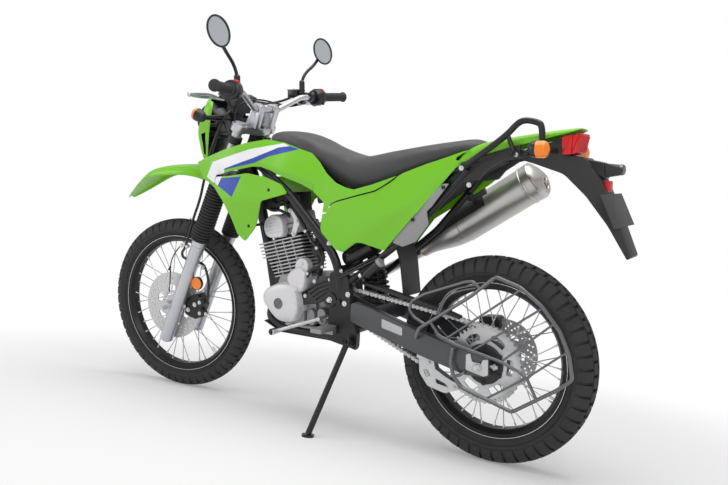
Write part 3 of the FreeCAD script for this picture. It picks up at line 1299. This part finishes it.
fender_depth = 6
cross_seat = cross_z - (cross_radius + play) * 1.12
fender = loft([[(x, half, top - fender_depth), (x, half, top), (x, -half, top), (x, -half, top - fender_depth)]
               for x, half, top in ((-306, 56, 640), (-420, 60, 762), (cross_x, 58, cross_seat), (-690, 44, 938))],
              True)
flap = slab([(-337, 666.9), (-360, 600, 60), (-376, 488), (-380, 488), (-366, 600, 60), (-344, 674.4)], -56, 56)
keep_shapes("rear_fender", [fender, flap])

# Wheel guard: a rod loop and its cross rods on the left, on stubs from the swingarm's outer face

guard_y = 150
guard_seat = arm_outer + gap
guard_route = [(-478, guard_seat, 384), (-478, guard_y, 384), (-489, guard_y, 416), (-661, guard_y, 535),
               (-738, guard_y, 601), (-815, guard_y, 578), (-881, guard_y, 530), (-962, guard_y, 406),
               (-974, guard_y, 338), (-930, guard_y, 301), (-801, guard_y, 215), (-711, guard_y, 240),
               (-628, guard_y, 273), (-603, guard_y, 362), (-603, guard_seat, 362)]
guard = [tube(guard_route, 6, [8, 14, 60, 30, 40, 60, 60, 30, 30, 30, 30, 30, 8])]
for start, stop in (((-582, 480), (-815, 578)), ((-666, 538), (-881, 530))):
    guard.append(tube([(start[0], guard_y, start[1]), (stop[0], guard_y, stop[1])], 3.5))
keep("wheel_guard", feature("wheel_guard", guard[0].fuse(guard[1:])))

# Foot pegs, foot controls and skid plate

peg_seat = plate_outer + gap
pegs = []
for side in (1, -1):
    bracket = Part.makeBox(34, 22, 30, vec((-157, peg_seat, 346)))
    rest = Part.makeBox(44, 84, 14, Vector(-162, 128, 362))
    peg = bracket.fuse(rest)
    pegs.append(peg if side > 0 else mirrored(peg))
keep_shapes("foot_pegs", pegs)
shift_shaft = cylinder_y(-105, 395, 7, S.rear_case_half + gap, 152)
shift = shift_shaft.fuse([tube([(-105, 146, 395), (-40, 160, 372), (60, 166, 336)], 6, 60),
                          cylinder_y(60, 335, 8, 152, 192)])
brake_shaft = cylinder_y(-184, 342, 8, peg_seat, 148)
pedal = brake_shaft.fuse([tube([(-184, 140, 342), (-120, 152, 330), (56, 152, 330)], 6, 60),
                          Part.makeBox(40, 44, 8, Vector(46, 140, 330))])
keep_shapes("foot_controls", [shift, mirrored(pedal)])
skid = slab([(198, 339.7), (123, 309.7), (-112, 309.7), (-112, 305.7), (124, 305.7), (201, 336.5)], -70, 70)
keep("skid_plate", feature("skid_plate", skid))

# Side stand: a leg from its pin on the left to a foot on the ground

leg_way = Vector(0.19, 0.40, -0.90).normalize()
down = standing.Rotation.inverted().multVec(Vector(0, 0, -1))
reach = 0.0
for _ in range(40):
    foot_height = standing.multVec(stand_pivot + leg_way * reach).z - float(S.stand_foot_thickness)
    reach += foot_height / max(-standing.Rotation.multVec(leg_way).z, 0.1)
foot = stand_pivot + leg_way * reach
pad_shape = Part.makeCylinder(float(S.stand_foot_radius), float(S.stand_foot_thickness), foot, down)
leg = Part.makeCylinder(float(S.stand_radius), reach - 2, stand_pivot, leg_way)
eye = Part.makeCylinder(float(S.stand_eye_radius), float(S.stand_eye_width),
                        stand_pivot - fold_axis * (float(S.stand_eye_width) / 2), fold_axis)
eye_bore = Part.makeCylinder(float(S.stand_pin_radius + gap), 80, stand_pivot - fold_axis * 40, fold_axis)
keep("side_stand", feature("side_stand", leg.fuse([pad_shape, eye]).cut(eye_bore)))

# Place every piece in the parked machine, with the origin under the middle of its box

doc.recompute()
spread = FreeCAD.BoundBox()
for label, (piece, place, steered) in nodes.items():
    whole = turned_fork.multiply(place) if steered else place
    piece.Placement = standing.multiply(whole).multiply(piece.Placement)
    shape = piece.Shape.copy()
    shape.tessellate(1.0)
    spread.add(shape.BoundBox)
centring = Vector(-(spread.XMin + spread.XMax) / 2, -(spread.YMin + spread.YMax) / 2, 0)
for piece, place, steered in nodes.values():
    centred = Placement(piece.Placement)
    centred.Base = centred.Base + centring
    piece.Placement = centred
doc.recompute()

# Check and write

for thing in doc.Objects:
    if "Invalid" in thing.State or "Error" in thing.State:
        raise RuntimeError(f"{thing.Label}: {thing.State}")
faulty = [label for label, (piece, place, steered) in nodes.items()
          if piece.Shape.isNull() or not piece.Shape.isValid()]
if faulty:
    raise RuntimeError(f"no valid shape: {faulty}")
os.makedirs("parts", exist_ok=True)
for label, (piece, place, steered) in nodes.items():
    piece.Shape.exportStep(f"parts/{label}.step")
print(len(nodes), "pieces; pitch", round(pitch, 3), "shift", centring)
